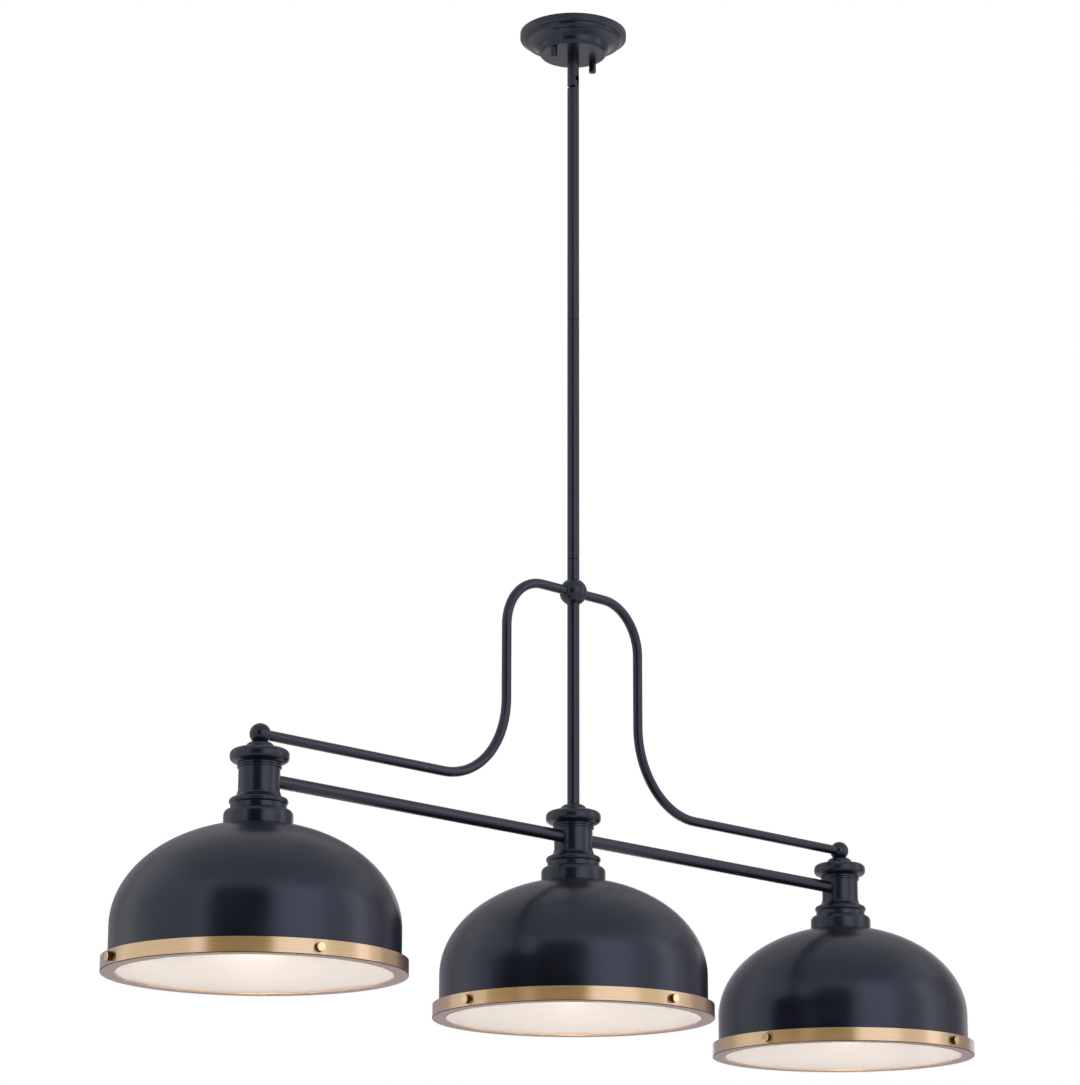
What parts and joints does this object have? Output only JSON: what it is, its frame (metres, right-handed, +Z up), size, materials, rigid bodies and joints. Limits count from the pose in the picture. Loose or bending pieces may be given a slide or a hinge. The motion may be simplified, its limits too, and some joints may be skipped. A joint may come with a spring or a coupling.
{
  "type": "linear island pendant",
  "caption": "Linear island pendant: dome shades with brass rings and frosted diffusers in a row on a crossbar, held by S-shaped arms from a jointed stem and a round swivel canopy.",
  "frame": {"origin": "middle of the ceiling plane, where the ceiling strap meets the ceiling box", "axes": "+Z up to the ceiling, +X along the crossbars towards the right-hand lamp, +Y across them"},
  "size_m": [1.4318, 0.3682, 1.3374],
  "materials": {
    "black": "satin blue-black powder coat",
    "shade_paint": "satin blue-black powder coat outside, matt white inside",
    "brushed_brass": "brushed, lacquered",
    "zinc_steel": "zinc plated",
    "ground_green": "green passivated",
    "white_ceramic": "glazed",
    "holder_brass": "plain",
    "bulb_metal": "plain",
    "bulb_glass": "frosted",
    "diffuser_glass": "etched"
  },
  "bodies": {
    "ceiling": {"ceiling_strap": "zinc_steel", "strap_rivet": "zinc_steel"},
    "canopy_set": {"canopy_strap": "zinc_steel", "canopy_studs": "zinc_steel", "stud_locknuts": "zinc_steel", "ground_screw": "ground_green", "canopy": "black", "canopy_nuts": "black", "canopy_nipple": "zinc_steel", "canopy_locknut": "zinc_steel", "swivel_fork": "black", "swivel_pin": "zinc_steel"},
    "pendant": {"swivel_tongue": "black", "upper_rod": "black", "middle_rod": "black", "short_rod": "black", "rod_nipples": "zinc_steel", "hub_ball": "black", "lower_stem": "black", "left_arm": "black", "right_arm": "black", "left_ball": "black", "right_ball": "black", "left_bar": "black", "right_bar": "black", "lamp_nipples": "zinc_steel", "lamp_locknuts": "zinc_steel", "left_neck": "black", "left_cap": "black", "left_shade": "shade_paint", "left_socket_body": "white_ceramic", "left_socket_shell": "holder_brass", "centre_neck": "black", "centre_cap": "black", "centre_shade": "shade_paint", "centre_socket_body": "white_ceramic", "centre_socket_shell": "holder_brass", "right_neck": "black", "right_cap": "black", "right_shade": "shade_paint", "right_socket_body": "white_ceramic", "right_socket_shell": "holder_brass"},
    "left_ring_set": {"left_ring": "brushed_brass", "left_diffuser": "diffuser_glass", "left_thumb_screws": "brushed_brass"},
    "left_bulb_slide": {"left_bulb_tip": "holder_brass"},
    "left_bulb": {"left_bulb_glass": "bulb_glass", "left_bulb_base": "bulb_metal"},
    "centre_ring_set": {"centre_ring": "brushed_brass", "centre_diffuser": "diffuser_glass", "centre_thumb_screws": "brushed_brass"},
    "centre_bulb_slide": {"centre_bulb_tip": "holder_brass"},
    "centre_bulb": {"centre_bulb_glass": "bulb_glass", "centre_bulb_base": "bulb_metal"},
    "right_ring_set": {"right_ring": "brushed_brass", "right_diffuser": "diffuser_glass", "right_thumb_screws": "brushed_brass"},
    "right_bulb_slide": {"right_bulb_tip": "holder_brass"},
    "right_bulb": {"right_bulb_glass": "bulb_glass", "right_bulb_base": "bulb_metal"}
  },
  "joints": [
    {"name": "canopy_turn", "type": "hinge", "parent": "ceiling", "child": "canopy_set", "pos_m": [0, 0, 0], "axis": [0, 0, 1], "range_deg": [-60, 60]},
    {"name": "hang_swivel", "type": "hinge", "parent": "canopy_set", "child": "pendant", "pos_m": [0, 0, -0.0702], "axis": [1, 0, 0], "range_deg": [-45, 45]},
    {"name": "left_ring_drop", "type": "slide", "parent": "pendant", "child": "left_ring_set", "axis": [0, 0, -1], "range_m": [0, 0.03]},
    {"name": "left_bulb_travel", "type": "slide", "parent": "pendant", "child": "left_bulb_slide", "axis": [0, 0, -1], "range_m": [0, 0.011]},
    {"name": "left_bulb_turn", "type": "hinge", "parent": "left_bulb_slide", "child": "left_bulb", "pos_m": [-0.535, 0, -1.18665], "axis": [0, 0, -1], "range_deg": [0, 1080]},
    {"name": "centre_ring_drop", "type": "slide", "parent": "pendant", "child": "centre_ring_set", "axis": [0, 0, -1], "range_m": [0, 0.03]},
    {"name": "centre_bulb_travel", "type": "slide", "parent": "pendant", "child": "centre_bulb_slide", "axis": [0, 0, -1], "range_m": [0, 0.011]},
    {"name": "centre_bulb_turn", "type": "hinge", "parent": "centre_bulb_slide", "child": "centre_bulb", "pos_m": [0, 0, -1.18665], "axis": [0, 0, -1], "range_deg": [0, 1080]},
    {"name": "right_ring_drop", "type": "slide", "parent": "pendant", "child": "right_ring_set", "axis": [0, 0, -1], "range_m": [0, 0.03]},
    {"name": "right_bulb_travel", "type": "slide", "parent": "pendant", "child": "right_bulb_slide", "axis": [0, 0, -1], "range_m": [0, 0.011]},
    {"name": "right_bulb_turn", "type": "hinge", "parent": "right_bulb_slide", "child": "right_bulb", "pos_m": [0.535, 0, -1.18665], "axis": [0, 0, -1], "range_deg": [0, 1080]}
  ],
  "couplings": [
    {"joint": "left_bulb_travel", "follows": "left_bulb_turn", "m_per_rad": 0.00057757},
    {"joint": "centre_bulb_travel", "follows": "centre_bulb_turn", "m_per_rad": 0.00057757},
    {"joint": "right_bulb_travel", "follows": "right_bulb_turn", "m_per_rad": 0.00057757}
  ]
}
